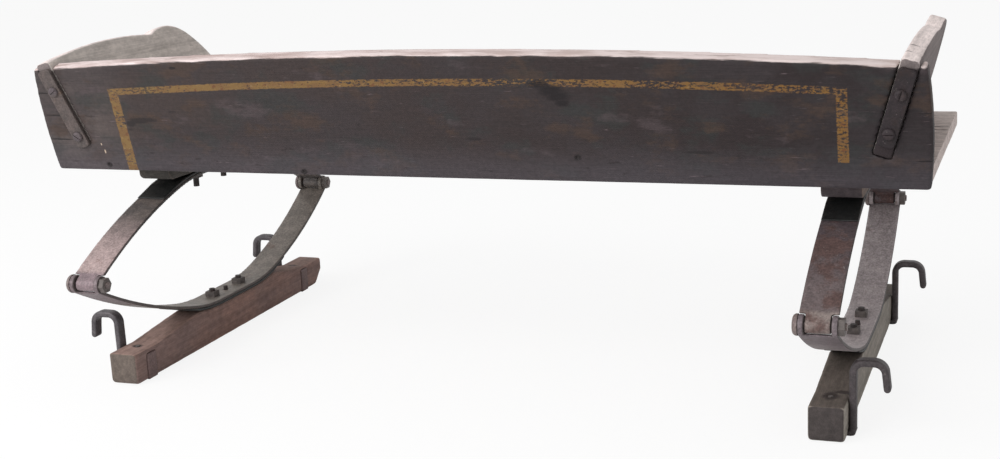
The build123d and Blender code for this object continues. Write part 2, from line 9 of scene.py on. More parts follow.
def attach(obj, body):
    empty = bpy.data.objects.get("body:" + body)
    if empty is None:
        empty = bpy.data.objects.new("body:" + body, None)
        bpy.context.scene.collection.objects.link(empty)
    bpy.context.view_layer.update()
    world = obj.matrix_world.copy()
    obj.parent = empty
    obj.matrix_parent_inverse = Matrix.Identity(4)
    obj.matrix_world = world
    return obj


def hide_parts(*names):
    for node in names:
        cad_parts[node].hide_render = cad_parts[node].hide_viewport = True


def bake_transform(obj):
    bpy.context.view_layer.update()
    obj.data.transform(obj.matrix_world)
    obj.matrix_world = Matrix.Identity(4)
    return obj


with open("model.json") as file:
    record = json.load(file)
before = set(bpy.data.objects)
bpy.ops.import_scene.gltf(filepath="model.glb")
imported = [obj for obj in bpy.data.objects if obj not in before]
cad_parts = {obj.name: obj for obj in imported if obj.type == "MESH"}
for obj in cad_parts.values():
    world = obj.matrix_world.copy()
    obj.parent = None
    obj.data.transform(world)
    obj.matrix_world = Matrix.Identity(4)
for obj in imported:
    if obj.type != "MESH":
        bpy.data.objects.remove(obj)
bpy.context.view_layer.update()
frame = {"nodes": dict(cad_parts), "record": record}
bpy.ops.object.select_all(action="DESELECT")

MM = 0.001
SIDES = {"left": -1, "right": 1}
SOFT = {"interpolation_type": "SMOOTHSTEP"}
RGBA = {"output": 2, "data_type": "RGBA"}

# ------------------------------------------------------------------ sizes repeated from the part
half_bench = 540 * MM
back_rake = math.radians(15)
back_turn = (math.pi / 2 + back_rake, 0, 0)      # the backboard's own frame: x along it, y up its rake
back_foot = Vector((0, -195 * MM, 266.6 * MM))   # and z out of its back
end_height = 138 * MM
crown_height = 155 * MM                          # middle of the backboard, along its rake
crown_fall = (crown_height - end_height) / half_bench ** 2
panel_splay = math.radians(16.6)
lower_face_z = 54.85 * MM                        # where the main leaves are clamped
upper_face_z = 234.25 * MM
ear_low_z = 134 * MM                             # the eyes and their bolts lie between these
ear_high_z = 165 * MM
seat_top_z = 289.1 * MM
plank_joint_y = 56                               # in millimetres
screw_head_top = 8.5 * MM                        # out of the backboard's rear face
hook_foot_x = 450 * MM                           # between a hook's shank and its tab


# ------------------------------------------------------------------ materials: shared patterns
def linear(code):
    """An sRGB hex colour as linear red, green, blue and alpha."""
    parts = [int(code[i:i + 2], 16) / 255 for i in (1, 3, 5)]
    return tuple(p / 12.92 if p <= 0.04045 else ((p + 0.055) / 1.055) ** 2.4 for p in parts) + (1,)


def add(tree, kind, inputs=None, output=0, **settings):
    """Add a shader node with its settings, values and links, and return one of its outputs."""
    made = tree.nodes.new(kind)
    for key, value in settings.items():
        setattr(made, key, value)
    for key, value in (inputs or {}).items():
        if isinstance(value, bpy.types.NodeSocket):
            tree.links.new(value, made.inputs[key])
        else:
            made.inputs[key].default_value = value
    return made.outputs[output]


def new_material(name):
    """An empty material's node tree, and the material."""
    material = bpy.data.materials.new(name)
    material.use_nodes = True
    material.node_tree.nodes.clear()
    return material.node_tree, material


def close(tree, colour, roughness, height, depth, **sockets):
    """End a material in one shader. Height is a pattern from 0 to 1, and depth is in metres."""
    bump = add(tree, "ShaderNodeBump", {"Strength": 1.0, "Distance": depth, "Height": height})
    surface = {"Base Color": colour, "Roughness": roughness, "Normal": bump}
    shader = add(tree, "ShaderNodeBsdfPrincipled", {**surface, **sockets})
    end = tree.nodes.new("ShaderNodeOutputMaterial")
    tree.links.new(shader, end.inputs["Surface"])


def board_place(tree, turn=(0, 0, 0), origin=(0, 0, 0)):
    """Object coordinates in a board's own frame, with X along its grain."""
    here = add(tree, "ShaderNodeTexCoord", output="Object")
    return add(tree, "ShaderNodeMapping", {"Vector": here, "Location": origin, "Rotation": turn},
               vector_type="TEXTURE")


def grain(tree, place, width, length, detail=4.0, roughness=0.6):
    """Fibres of this width and length, in metres, drawn out along X."""
    drawn = add(tree, "ShaderNodeVectorMath", {0: place, 1: (width / length, 1, 1)}, operation="MULTIPLY")
    return add(tree, "ShaderNodeTexNoise",
               {"Vector": drawn, "Scale": 1 / width, "Detail": detail, "Roughness": roughness})


def patches(tree, place, size, low, high, detail=5.0, stretch=1.0):
    """Irregular patches of this size, in metres, drawn out along X by stretch: 0 where the noise is
    under low, 1 over high."""
    drawn = add(tree, "ShaderNodeVectorMath", {0: place, 1: (1 / stretch, 1, 1)}, operation="MULTIPLY")
    noise = add(tree, "ShaderNodeTexNoise",
                {"Vector": drawn, "Scale": 1 / size, "Detail": detail, "Roughness": 0.65})
    return add(tree, "ShaderNodeMapRange", {"Value": noise, "From Min": low, "From Max": high}, **SOFT)


def worn_edges(tree, place, low, high, break_up):
    """Where use has rubbed the corners: the sharper the mesh, the more, broken up by noise."""
    sharp = add(tree, "ShaderNodeNewGeometry", output="Pointiness")
    noise = add(tree, "ShaderNodeTexNoise", {"Vector": place, "Scale": 1 / break_up, "Detail": 6.0})
    nudged = add(tree, "ShaderNodeMath", {0: noise, 1: 0.06, 2: sharp}, operation="MULTIPLY_ADD")
    return add(tree, "ShaderNodeMapRange", {"Value": nudged, "From Min": low, "From Max": high}, **SOFT)


def facing(tree, direction):
    """1 where the surface faces this way, and 0 where it turns away."""
    out = add(tree, "ShaderNodeNewGeometry", output="Normal")
    along = add(tree, "ShaderNodeVectorMath", {0: out, 1: direction}, output="Value",
                operation="DOT_PRODUCT")
    return add(tree, "ShaderNodeMapRange", {"Value": along, "From Min": 0.55, "From Max": 0.8}, **SOFT)


def lay_over(tree, colour, layers):
    """Colours laid one over another, each where its pattern is 1."""
    for pattern, code, strength in layers:
        share = add(tree, "ShaderNodeMath", {0: pattern, 1: strength}, operation="MULTIPLY")
        over = linear(code) if isinstance(code, str) else code
        colour = add(tree, "ShaderNodeMix", {0: share, 6: colour, 7: over}, **RGBA)
    return colour


def shade_by(tree, colour, pattern, low, high, dark, light):
    """Darken and lighten a colour by a pattern: dark times where it is low, light times where high."""
    share = add(tree, "ShaderNodeMapRange",
                {"Value": pattern, "From Min": low, "From Max": high, "To Min": dark, "To Max": light})
    return add(tree, "ShaderNodeMix", {0: 1.0, 6: colour, 7: share}, blend_type="MULTIPLY", **RGBA)


def marks(tree, place, spots, blur=0.35):
    """Single stains, checks and nail holes: flat ellipses at these places, with ragged rims."""
    ragged = add(tree, "ShaderNodeTexNoise", {"Vector": place, "Scale": 220.0, "Detail": 4.0})
    found = 0.0
    for x, y, long, high in spots:
        flat = add(tree, "ShaderNodeMapping",
                   {"Vector": place, "Location": (x * MM, y * MM, 0), "Scale": (long * MM, high * MM, 1)},
                   vector_type="TEXTURE")
        away = add(tree, "ShaderNodeVectorMath", {0: flat}, output="Value", operation="LENGTH")
        rim = add(tree, "ShaderNodeMath", {0: ragged, 1: 0.9, 2: away}, operation="MULTIPLY_ADD")
        one = add(tree, "ShaderNodeMapRange",
                  {"Value": rim, "From Min": 1.45 + blur, "From Max": 1.45 - blur}, **SOFT)
        found = add(tree, "ShaderNodeMath", {0: found, 1: one}, operation="MAXIMUM")
    return found


# ------------------------------------------------------------------ materials: one function for each
# checks in the backboard's ends, as height up the board and length in from its end, in millimetres
ear_checks = {-1: ((106, 15), (76, 34), (43, 30)), 1: ((88, 9), (34, 12))}
# places on the backboard's rear face, along it and up it, in millimetres
nail_places = ((-462, 9), (-187, 5.5), (160, 31))
screw_places = ((-511, 110.1), (-493.6, 49.6), (511, 110.1), (498.6, 66.9))
# checks in the seat planks' ends, as place across the seat and length, in millimetres
seat_checks = {"seat_plank_rear": {-1: ((-95, 30), (10, 22)), 1: ((-120, 26), (-18, 34), (35, 18))},
               "seat_plank_front": {-1: ((110, 24),), 1: ((92, 20), (150, 30))}}
dull = 0.3                   # specular level of old paint and bare wood, whose pores break up the sheen
fibre_width, fibre_length = 1.4 * MM, 63 * MM    # coarser than pine's own, so that the render shows them
grain_depth = 0.35 * MM
rust_pit_depth = 0.3 * MM


def backboard_paint():
    """Oil paint on pine, brushed on and a century old: dull, mottled, rubbed through on its arrises."""
    tree, material = new_material("aged_dark_oil_paint")
    place = board_place(tree, back_turn, back_foot)
    x, height, out = add(tree, "ShaderNodeSeparateXYZ", {0: place}).node.outputs

    across = add(tree, "ShaderNodeMapRange",
                 {"Value": x, "From Min": -half_bench, "From Max": half_bench})
    # paler and greyer towards the board's foot
    near_foot = add(tree, "ShaderNodeMapRange",
               {"Value": height, "From Min": 55 * MM, "From Max": 5 * MM}, **SOFT)
    left_end = add(tree, "ShaderNodeMapRange",
                   {"Value": x, "From Min": -400 * MM, "From Max": -470 * MM}, **SOFT)
    # painted shade and light: through across and left_end the paint is darkened towards the right end and
    # paled at the left end, for light falling from the left
    colour = lay_over(tree, linear("#392f2d"), (
        (across, "#1f1618", 1.0),
        (left_end, "#524947", 0.8),
        (patches(tree, place, 0.10, 0.42, 0.58, stretch=1.5), "#2f292b", 0.6),
        (patches(tree, place, 0.055, 0.50, 0.62, stretch=1.6), "#272b2a", 0.5),
        (patches(tree, place, 0.042, 0.52, 0.64, stretch=1.8), "#3f2f26", 0.6),
        (patches(tree, place, 0.050, 0.56, 0.66, stretch=2.2), "#493e40", 0.5),
        (near_foot, "#454045", 0.55),
        (patches(tree, place, 0.008, 0.60, 0.70, stretch=3.0), "#1f1819", 0.6),
        (patches(tree, place, 0.0035, 0.64, 0.74, stretch=10.0), "#75666a", 0.5),
    ))
    brushed = grain(tree, place, 1.6 * MM, 60 * MM)
    colour = shade_by(tree, colour, brushed, 0.3, 0.7, 0.84, 1.16)
    colour = shade_by(tree, colour, patches(tree, place, 0.005, 0.3, 0.7), 0.0, 1.0, 0.86, 1.14)

    # how far below the crowned top a point lies
    fall = add(tree, "ShaderNodeMath", {0: x, 1: x}, operation="MULTIPLY")
    crown = add(tree, "ShaderNodeMath", {0: fall, 1: -crown_fall, 2: crown_height}, operation="MULTIPLY_ADD")
    below = add(tree, "ShaderNodeMath", {0: crown, 1: height}, operation="SUBTRACT")
    colour = pinstripe(tree, place, x, height, out, below, across, colour)

    edge_noise = grain(tree, place, 4 * MM, 40 * MM)
    reach = add(tree, "ShaderNodeMath", {0: edge_noise, 1: -5 * MM, 2: below}, operation="MULTIPLY_ADD")
    rubbed = add(tree, "ShaderNodeMapRange",
                 {"Value": reach, "From Min": 0.2 * MM, "From Max": -1.6 * MM}, **SOFT)
    bare = lay_over(tree, linear("#b39d98"), (
        (patches(tree, place, 0.012, 0.35, 0.62, stretch=6.0), "#e6d6d4", 1.0),
        (across, "#c4b8b4", 0.5),
        (patches(tree, place, 0.008, 0.58, 0.70, stretch=8.0), "#6f574d", 0.8),
    ))
    checks = [(side * (half_bench / MM - length / 2), up, length / 2 + 3, 0.9)
              for side, lines in ear_checks.items() for up, length in lines]
    holes = [(-335, 139.5, 4, 1.8), *((x, up, 4.5, 3.6) for x, up in nail_places)]
    stains = [(-395, 71, 20, 3), (-403, 68.5, 15, 2.4), (-414, 66, 7, 4), (300, 40, 16, 2), (40, 52, 9, 2)]
    knocks = [(126, 119, 12, 5), (138, 112, 14, 7), (146, 105, 13, 6), (150, 97, 8, 4)]
    colour = lay_over(tree, colour, (
        (worn_edges(tree, place, 0.60, 0.66, 0.012), "#7d6f6e", 0.5),
        (rubbed, bare, 1.0),
        (marks(tree, place, stains), "#1f191a", 0.85),
        (marks(tree, place, knocks, blur=0.5), "#120b0e", 0.9),
        (marks(tree, place, [(-463, 27, 1.0, 2.6), (-466, 37, 0.8, 1.6)]), "#b9a592", 0.85),
        (marks(tree, place, checks + holes, blur=0.3), "#171112", 0.85),
    ))
    roughness = add(tree, "ShaderNodeMapRange", {"Value": brushed, "To Min": 0.55, "To Max": 0.75})
    close(tree, colour, roughness, brushed, grain_depth, **{"Specular IOR Level": dull})
    return material


def pinstripe(tree, place, x, height, out, below, across, colour):
    """A hand-lined ochre stripe along the top and down both ends, flaking off in small chips."""
    stripe_drop = 29.3 * MM
    stripe_width = 8.6 * MM
    stripe_tilt = 6.1 * MM       # it lies this much nearer the top per metre to the right
    left_start, left_width = -435 * MM, 13.5 * MM
    right_start, right_width = 446 * MM, 11.5 * MM
    right_foot = 31 * MM
    edge = 0.6 * MM
    no_end = 0.2                 # past the board's edge, for a line that runs off it
    wobble_noise = add(tree, "ShaderNodeTexNoise", {"Vector": place, "Scale": 190.0, "Detail": 4.0})
    wobble = add(tree, "ShaderNodeMath", {0: wobble_noise, 1: 2.4 * MM, 2: -1.2 * MM},
                 operation="MULTIPLY_ADD")
    level = add(tree, "ShaderNodeMath", {0: x, 1: stripe_tilt, 2: below}, operation="MULTIPLY_ADD")

    def band(value, start, end):
        moved = add(tree, "ShaderNodeMath", {0: value, 1: wobble}, operation="ADD")
        centred = add(tree, "ShaderNodeMath", {0: moved, 1: (start + end) / 2}, operation="SUBTRACT")
        away = add(tree, "ShaderNodeMath", {0: centred}, operation="ABSOLUTE")
        half = (end - start) / 2
        return add(tree, "ShaderNodeMapRange",
                   {"Value": away, "From Min": half + edge, "From Max": half - edge}, **SOFT)

    def both(*bands):
        met = 1.0
        for one in bands:
            met = add(tree, "ShaderNodeMath", {0: met, 1: one}, operation="MULTIPLY")
        return met

    under = band(level, stripe_drop, stripe_drop + no_end)
    top = both(band(level, stripe_drop, stripe_drop + stripe_width),
               band(x, left_start, right_start + right_width))
    left = both(band(x, left_start, left_start + left_width), under)
    right = both(band(x, right_start, right_start + right_width), under,
                 band(height, right_foot, right_foot + no_end))
    lined = 0.0
    for line in (top, left, right):
        lined = add(tree, "ShaderNodeMath", {0: lined, 1: line}, operation="MAXIMUM")
    behind = add(tree, "ShaderNodeMath", {0: out, 1: -3 * MM}, operation="GREATER_THAN")

    # flaking is worst right of the middle, and at both top corners
    chips = grain(tree, place, 2.6 * MM, 6 * MM, detail=5.0, roughness=0.75)
    tired = add(tree, "ShaderNodeTexNoise", {"Vector": place, "Scale": 11.0, "Detail": 2.0})
    worst = marks(tree, place, [(210, 122, 250, 40), (-405, 109, 34, 14), (452, 80, 12, 60),
                                (-428, 70, 14, 12), (-428, 20, 14, 12), (20, 124, 60, 12)], blur=0.6)
    left_on = add(tree, "ShaderNodeMath", {0: tired, 1: 0.42, 2: chips}, operation="MULTIPLY_ADD")
    left_on = add(tree, "ShaderNodeMath", {0: worst, 1: -0.10, 2: left_on}, operation="MULTIPLY_ADD")
    kept = add(tree, "ShaderNodeMapRange", {"Value": left_on, "From Min": 0.57, "From Max": 0.63}, **SOFT)
    ochre = lay_over(tree, linear("#735b37"), (
        (across, "#755120", 0.9),
        (patches(tree, place, 0.012, 0.42, 0.60, stretch=2.0), "#6a4e31", 0.8),
        (patches(tree, place, 0.006, 0.55, 0.64), "#5e3823", 0.75),
        (patches(tree, place, 0.005, 0.60, 0.70), "#97805a", 0.7),
        (patches(tree, place, 0.0025, 0.58, 0.68), "#43352a", 0.75),
    ))
    return lay_over(tree, colour, ((both(lined, behind, kept), ochre, 1.0),))


def weathered(name, turn, dark, light, pale, contrast, faces=(), rear_end=None, stains=()):
    """Wood that has lost most of its finish: grey-brown fibres, darker in the hollows of its grain and
    paler where it has been rubbed. Faces gives other colours by the way that the surface faces, and
    rear_end the one of a tongue's end, which was painted along with the backboard's rear face. Stains
    are seen from above: their places and half sizes in millimetres."""
    tree, material = new_material(name)
    place = board_place(tree, turn)
    fine = grain(tree, place, fibre_width, fibre_length)
    growth = grain(tree, place, 9 * MM, 0.4, detail=2.0)
    colour = lay_over(tree, linear(dark), (
        (patches(tree, place, 0.09, 0.36, 0.64, stretch=2.0), light, 1.0),
        *((facing(tree, direction), code, share) for direction, code, share in faces),
    ))
    colour = shade_by(tree, colour, fine, 0.3, 0.7, 1 - contrast, 1 + 0.8 * contrast)
    colour = shade_by(tree, colour, growth, 0.35, 0.65, 0.88, 1.10)
    blotches = patches(tree, place, 0.03, 0.35, 0.65, stretch=2.5)
    colour = shade_by(tree, colour, blotches, 0.0, 1.0, 0.90, 1.08)
    colour = shade_by(tree, colour, patches(tree, place, 0.006, 0.36, 0.64, stretch=1.8), 0.0, 1.0,
                      1 - 0.8 * contrast, 1 + 0.7 * contrast)
    colour = lay_over(tree, colour, (
        (patches(tree, place, 0.004, 0.66, 0.76, stretch=5.0), "#2f2623", 0.5),
        (marks(tree, board_place(tree), stains), "#2a2120", 0.85),
        (worn_edges(tree, place, 0.57, 0.61, 0.012), pale, 0.85),
    ))
    if rear_end:
        up, out = add(tree, "ShaderNodeSeparateXYZ",
                      {0: board_place(tree, back_turn, back_foot)}).node.outputs[1:]
        end = add(tree, "ShaderNodeMapRange", {"Value": out, "From Min": -3 * MM, "From Max": -1.5 * MM})
        level = add(tree, "ShaderNodeMapRange",
                    {"Value": up, "From Min": end_height, "From Max": end_height - 3 * MM})
        painted = add(tree, "ShaderNodeMath", {0: end, 1: level}, operation="MULTIPLY")
        colour = lay_over(tree, colour, ((painted, rear_end, 1.0),))
    close(tree, colour, 0.78, fine, grain_depth, **{"Specular IOR Level": dull})
    return material


def forged_iron(name, dark, light, rust, rust_low, rust_high, shine=0.55, tip=None, streak=0.10,
                painted=None, bar_edge=None, specks=0.12, right=None, eye=None):
    """Wrought iron with its forge scale rubbed to a dull sheen and thin rust in patches. The scale is an
    oxide and not bare metal, so it is only a little metallic.

    The optional colours are each for one place: tip towards the rear eyes, eye on the rear eye itself,
    painted for the runners' paint on their inner sides, right for a painted shade over the bench's right
    half, and bar_edge on the faces that face left and right. Specks is how strongly pale grit shows.
    """
    tree, material = new_material(name)
    place = board_place(tree)
    along = board_place(tree, (0, 0, math.pi / 2))
    rusty = patches(tree, place, 0.030, rust_low, rust_high, detail=8.0)
    layers = [(patches(tree, place, 0.02, 0.35, 0.65), light, 1.0)]
    if tip:
        y = add(tree, "ShaderNodeSeparateXYZ", {0: place}, output=1)
        ragged = add(tree, "ShaderNodeTexNoise", {"Vector": place, "Scale": 28.0, "Detail": 4.0})
        nearer = add(tree, "ShaderNodeMath", {0: ragged, 1: -50 * MM, 2: y}, operation="MULTIPLY_ADD")
        rear = add(tree, "ShaderNodeMapRange",
                   {"Value": nearer, "From Min": -200 * MM, "From Max": -300 * MM}, **SOFT)
        layers.append((rear, tip, 0.9))
        if eye:
            rolled = add(tree, "ShaderNodeMapRange",
                         {"Value": y, "From Min": -289 * MM, "From Max": -294 * MM})
            layers.append((rolled, eye, 0.9))
    if painted:
        x = add(tree, "ShaderNodeSeparateXYZ", {0: place})
        inner = add(tree, "ShaderNodeMath", {0: x}, operation="ABSOLUTE")
        layers.append((add(tree, "ShaderNodeMapRange",
                           {"Value": inner, "From Min": hook_foot_x + 2 * MM,
                            "From Max": hook_foot_x - 2 * MM}), painted, 1.0))
    # painted shade: the bench's right half is darker, following the backboard's darkening to the right
    if right:
        x = add(tree, "ShaderNodeSeparateXYZ", {0: place})
        layers.append((add(tree, "ShaderNodeMath", {0: x, 1: 0.0}, operation="GREATER_THAN"), right, 1.0))
    layers.append((rusty, rust, 0.85 if not right else 0.3))
    colour = lay_over(tree, linear(dark), layers)
    pits = add(tree, "ShaderNodeTexNoise", {"Vector": place, "Scale": 420.0, "Detail": 5.0})
    colour = shade_by(tree, colour, pits, 0.35, 0.65, 0.76, 1.22)
    colour = shade_by(tree, colour, patches(tree, place, 0.009, 0.35, 0.65), 0.0, 1.0, 0.86, 1.12)
    colour = shade_by(tree, colour, grain(tree, along, 1.5 * MM, 70 * MM), 0.3, 0.7, 1 - streak, 1 + streak)
    colour = lay_over(tree, colour, (
        (patches(tree, place, 0.0035, 0.66, 0.72), "#2a2321", 0.6),
        (patches(tree, place, 0.004, 0.66, 0.72, detail=3.0), "#c4b8b3", specks),
        (worn_edges(tree, place, 0.61, 0.70, 0.006), "#a39a95", 0.5),
    ))
    if bar_edge:
        out = add(tree, "ShaderNodeSeparateXYZ",
                  {0: add(tree, "ShaderNodeNewGeometry", output="Normal")})
        sideways = add(tree, "ShaderNodeMath", {0: out}, operation="ABSOLUTE")
        edge = add(tree, "ShaderNodeMapRange", {"Value": sideways, "From Min": 0.35, "From Max": 0.8}, **SOFT)
        colour = lay_over(tree, colour, ((edge, bar_edge, 0.85),))
    roughness = add(tree, "ShaderNodeMapRange", {"Value": rusty, "To Min": shine, "To Max": 0.85})
    close(tree, colour, roughness, pits, rust_pit_depth, Metallic=0.15)
    return material


# ------------------------------------------------------------------ pieces: worn copies of the solids
def select(piece):
    """Make a piece the only one selected, and active."""
    bpy.ops.object.select_all(action="DESELECT")
    piece.select_set(True)
    bpy.context.view_layer.objects.active = piece


def apply_modifier(piece, kind, **settings):
    """Put one modifier on a piece, and apply it."""
    select(piece)
    made = piece.modifiers.new(kind.lower(), kind)
    for key, value in settings.items():
        setattr(made, key, value)
    bpy.ops.object.modifier_apply(modifier=made.name)


def clouds(size):
    """A soft noise of this size in metres, for displacing a surface."""
    texture = bpy.data.textures.new("clouds", "CLOUDS")
    texture.noise_scale = size
    texture.noise_depth = 2
    return texture


def closed_copy(node, name):
    """A copy of a solid with its triangles joined up."""
    piece = bpy.data.objects.new(name, frame["nodes"][node].data.copy())
    bpy.context.scene.collection.objects.link(piece)
    select(piece)
    bpy.ops.object.mode_set(mode="EDIT")
    bpy.ops.mesh.select_all(action="SELECT")
    bpy.ops.mesh.remove_doubles(threshold=0.001 * MM)
    bpy.ops.object.mode_set(mode="OBJECT")
    return piece


def worn_copy(node, voxel, wear, wear_size):
    """A closed, evenly meshed copy of a solid, its arrises eased and its faces worn back unevenly.

    Voxel is the mesh's spacing, and wear the deepest that its surface is worn back, both in metres.
    """
    piece = closed_copy(node, f"{node}_worn")
    apply_modifier(piece, "REMESH", mode="VOXEL", voxel_size=voxel)
    apply_modifier(piece, "SMOOTH", factor=0.5, iterations=2)
    apply_modifier(piece, "DISPLACE", texture=clouds(wear_size), strength=wear, mid_level=1.0,
                   texture_coords="LOCAL")
    bpy.ops.object.shade_smooth()
    return piece


def cut_out(piece, cutter):
    """Take one shape out of a piece, and drop the shape."""
    apply_modifier(piece, "BOOLEAN", object=cutter, operation="DIFFERENCE", solver="MANIFOLD")
    bpy.data.objects.remove(cutter)
    select(piece)
    bpy.ops.object.shade_smooth_by_angle(angle=smooth_angle)


def check_cutter(at, inwards, width, length, depth):
    """A drying check as a shape to take out: it tapers from its mouth at a board's end to nothing."""
    bpy.ops.mesh.primitive_cone_add(vertices=4, radius1=1, radius2=0, depth=1, location=(0, 0, 0.5))
    cutter = bpy.context.object
    bpy.ops.object.transform_apply()
    upright = inwards.to_track_quat("Z", "Y").to_matrix().to_4x4()
    cutter.matrix_world = Matrix.Translation(at) @ upright @ Matrix.Diagonal((width, depth, length, 1))
    return cutter


def finish_piece(piece, material, slot):
    """Give a piece its material. The slot argument, of the solid that it takes its finish from, is not used.
    """
    piece.data.materials.clear()
    piece.data.materials.append(material)


# each material's comment says what the real one is, and what that gives the eye
paint = backboard_paint()
along_y = (0, 0, math.pi / 2)
inward = {side: (-sign * math.cos(panel_splay), 0, math.sin(panel_splay)) for side, sign in SIDES.items()}
# oil paint worn thin on pine: dull, the grain showing through, and the top rubbed bare by hands
# the inner faces are paler: partly bare worn wood, and partly painted light, made paler still for the shade
# that they stand in
panel_wood = {side: weathered(f"worn_panel_paint_{side}", along_y, "#766c6b", "#827876", "#e0d2ce", 0.14,
                              faces=((inward[side], "#cec5be", 0.9), ((0, 0, 1), "#efe1dd", 0.95)),
                              rear_end=rear_end,
                              stains=((519, -178, 6, 1.4), (516, -205, 5, 1.0)))
              # the right tongue end is darker than the left: painted shade, following the backboard's
              # darkening to the right
              for side, rear_end in (("left", "#4d4543"), ("right", "#2c2426"))}
# pine that was planed and then weathered bare: silver grey, with strong grain
# the top and ends are paler: partly weathered bare wood, and partly painted light, made paler for the panels'
# shade on them
seat_wood = weathered("bare_weathered_pine", (0, 0, 0), "#988b84", "#aa9d96", "#d6c9c4", 0.22,
                      faces=(((0, 0, 1), "#d6c8c2", 0.75), ((1, 0, 0), "#d2c3be", 0.75),
                             ((-1, 0, 0), "#d2c3be", 0.75)),
                      stains=((0, plank_joint_y, 560, 4.0), (515, 75, 22, 2.8), (500, 36, 30, 2.6)))
# hardwood cleats, painted along with the seat: dark and nearly even, with bare wood at the arrises
cleat_wood = {
    "left": weathered("dark_painted_cleat_left", along_y, "#43403d", "#4d4844", "#75665f", 0.15),
    "right": weathered("dark_painted_cleat_right", along_y, "#4a4245", "#544a4a", "#8d7a6d", 0.15,
                       faces=(((1, 0, 0), "#7e6c60", 0.7),)),
}
# ash, sawn and then handled and weathered: brown, greyer at the ends, dark round the hook irons
# the face colours are partly the wood's own weathering and partly painted light and shade: the left top is
# paler, the right top and rear end are darker, and the right runner's sides are paler
runner_wood = {
    "left": weathered("weathered_ash_runner_left", along_y, "#7a6560", "#876b62", "#96806f", 0.18,
                      faces=(((0, 0, 1), "#997f76", 0.9), ((0, -1, 0), "#645b54", 0.9)),
                      stains=((-440, -211, 7, 6), (-440, 211, 7, 6))),
    "right": weathered("weathered_ash_runner_right", along_y, "#857e77", "#8f887f", "#978c83", 0.18,
                       faces=(((0, 0, 1), "#584f49", 0.95), ((0, -1, 0), "#352e2f", 0.9)),
                       stains=((440, -211, 9, 12), (452, -196, 10, 5), (440, 211, 7, 9))),
}
# spring steel, rolled and forged: a dull sheen, paler where it is rubbed, with thin rust
leaf_iron = {
    "upper_leaf_left": forged_iron("rubbed_spring_steel", "#4f4a49", "#635b57", "#6f5750", 0.58, 0.72,
                                   tip="#b09b99", bar_edge="#332e2d", specks=0.45, eye="#75656a"),
    "upper_leaf_right": forged_iron("rusted_spring_steel", "#50464a", "#5c5254", "#58423e", 0.44, 0.60,
                                    tip="#6a5e5e", bar_edge="#332e2d", specks=0.4, eye="#867a75"),
    "lower_leaf_left": forged_iron("grey_spring_steel", "#6f6862", "#827a73", "#6e5c56", 0.58, 0.72,
                                   tip="#6d5f63", bar_edge="#3b3230", specks=0.45),
    # painted light: this leaf is much paler than the others, so that its front arm in the seat's shade looks
    # lit; the darker tip colour is for the part towards its rear eye
    "lower_leaf_right": forged_iron("streaked_spring_steel", "#988e8f", "#a79d9e", "#6f5a54", 0.60, 0.75,
                                    streak=0.16, tip="#61565a", bar_edge="#3b3432", specks=0.4),
}
# the helper leaves, near black: painted shade for where they lie between the main leaves and the wood
helper_shade_iron = forged_iron("spring_steel_painted_shade", "#1c1d1d", "#262828", "#2f2825", 0.6, 0.8)
# wrought iron flat bar, bent hot: dark forge scale, and runner paint on the tabs
hook_iron = {
    "left": forged_iron("forged_hook_iron_left", "#433f42", "#555053", "#5d4a43", 0.6, 0.75,
                        painted="#665250"),
    "right": forged_iron("forged_hook_iron_right", "#3b3536", "#494244", "#4d3b36", 0.55, 0.70,
                         painted="#5b544f"),
}
# wrought iron flat bar, painted along with the backboard: nearly as dull as its wood
strap_iron = {
    "left": forged_iron("painted_flat_bar_left", "#4a4240", "#544946", "#584639", 0.50, 0.70, shine=0.7),
    # the right strap is much darker than the left: painted shade, following the backboard's darkening to the
    # right
    "right": forged_iron("painted_flat_bar_right", "#21191c", "#281f22", "#2c201d", 0.50, 0.70, shine=0.75),
}
# slotted wood screws of iron under the same paint
# the screws on the right half are darker: painted shade, following the backboard's darkening to the right
screw_iron = forged_iron("painted_screw_iron", "#50474a", "#5a5150", "#463830", 0.50, 0.70, shine=0.7,
                         right="#2a2124")
# black iron bolts and nuts, forged and rusted: dark and dull
bolt_iron = forged_iron("rusted_bolt_iron", "#241d1c", "#302827", "#3f2e28", 0.5, 0.7, shine=0.65)
# eye bolts of the same iron, their domed heads rubbed paler
eye_iron = forged_iron("rubbed_eye_bolt_iron", "#6b5f5f", "#7b6e6a", "#65504a", 0.50, 0.68)

past_end = 2.5 * MM                              # the backboard's ends bow out this far
check_depth = 9 * MM
board_check_gape, seat_check_gape = 0.8 * MM, 0.9 * MM
check_overshoot = 3 * MM                         # a backboard check's cutter starts outside the bowed end
dent_radius, dent_depth = 3.6 * MM, 4 * MM       # of the cones pressed in round the nails
dent_sunk = 0.8 * MM
nail_radius, nail_length, nail_round = 1.9 * MM, 3 * MM, 0.5 * MM
slot_size = (15 * MM, 1.3 * MM, 2.6 * MM)        # sunk to half its height in a screw's head
slot_turn, slot_turn_step = 0.6, 1.9             # no two screws stopped at the same angle
smooth_angle = math.radians(35)

back = Matrix.Translation(back_foot) @ Euler(back_turn).to_matrix().to_4x4()
ends_in = {side: Vector((-side, 0, 0)) for side in (-1, 1)}


def backboard_cutters():
    """Checks in the backboard's ends, and the dents that its nails were driven into."""
    for side, lines in ear_checks.items():
        for up, length in lines:
            at = back @ Vector((side * (half_bench + past_end), up * MM, 0))
            yield check_cutter(at, ends_in[side], board_check_gape, length * MM + check_overshoot,
                               check_depth)
    for x, up in nail_places:
        bpy.ops.mesh.primitive_cone_add(vertices=14, radius1=0, radius2=dent_radius, depth=dent_depth)
        dent = bpy.context.object
        dent.matrix_world = back @ Matrix.Translation((x * MM, up * MM, -dent_sunk))
        yield dent


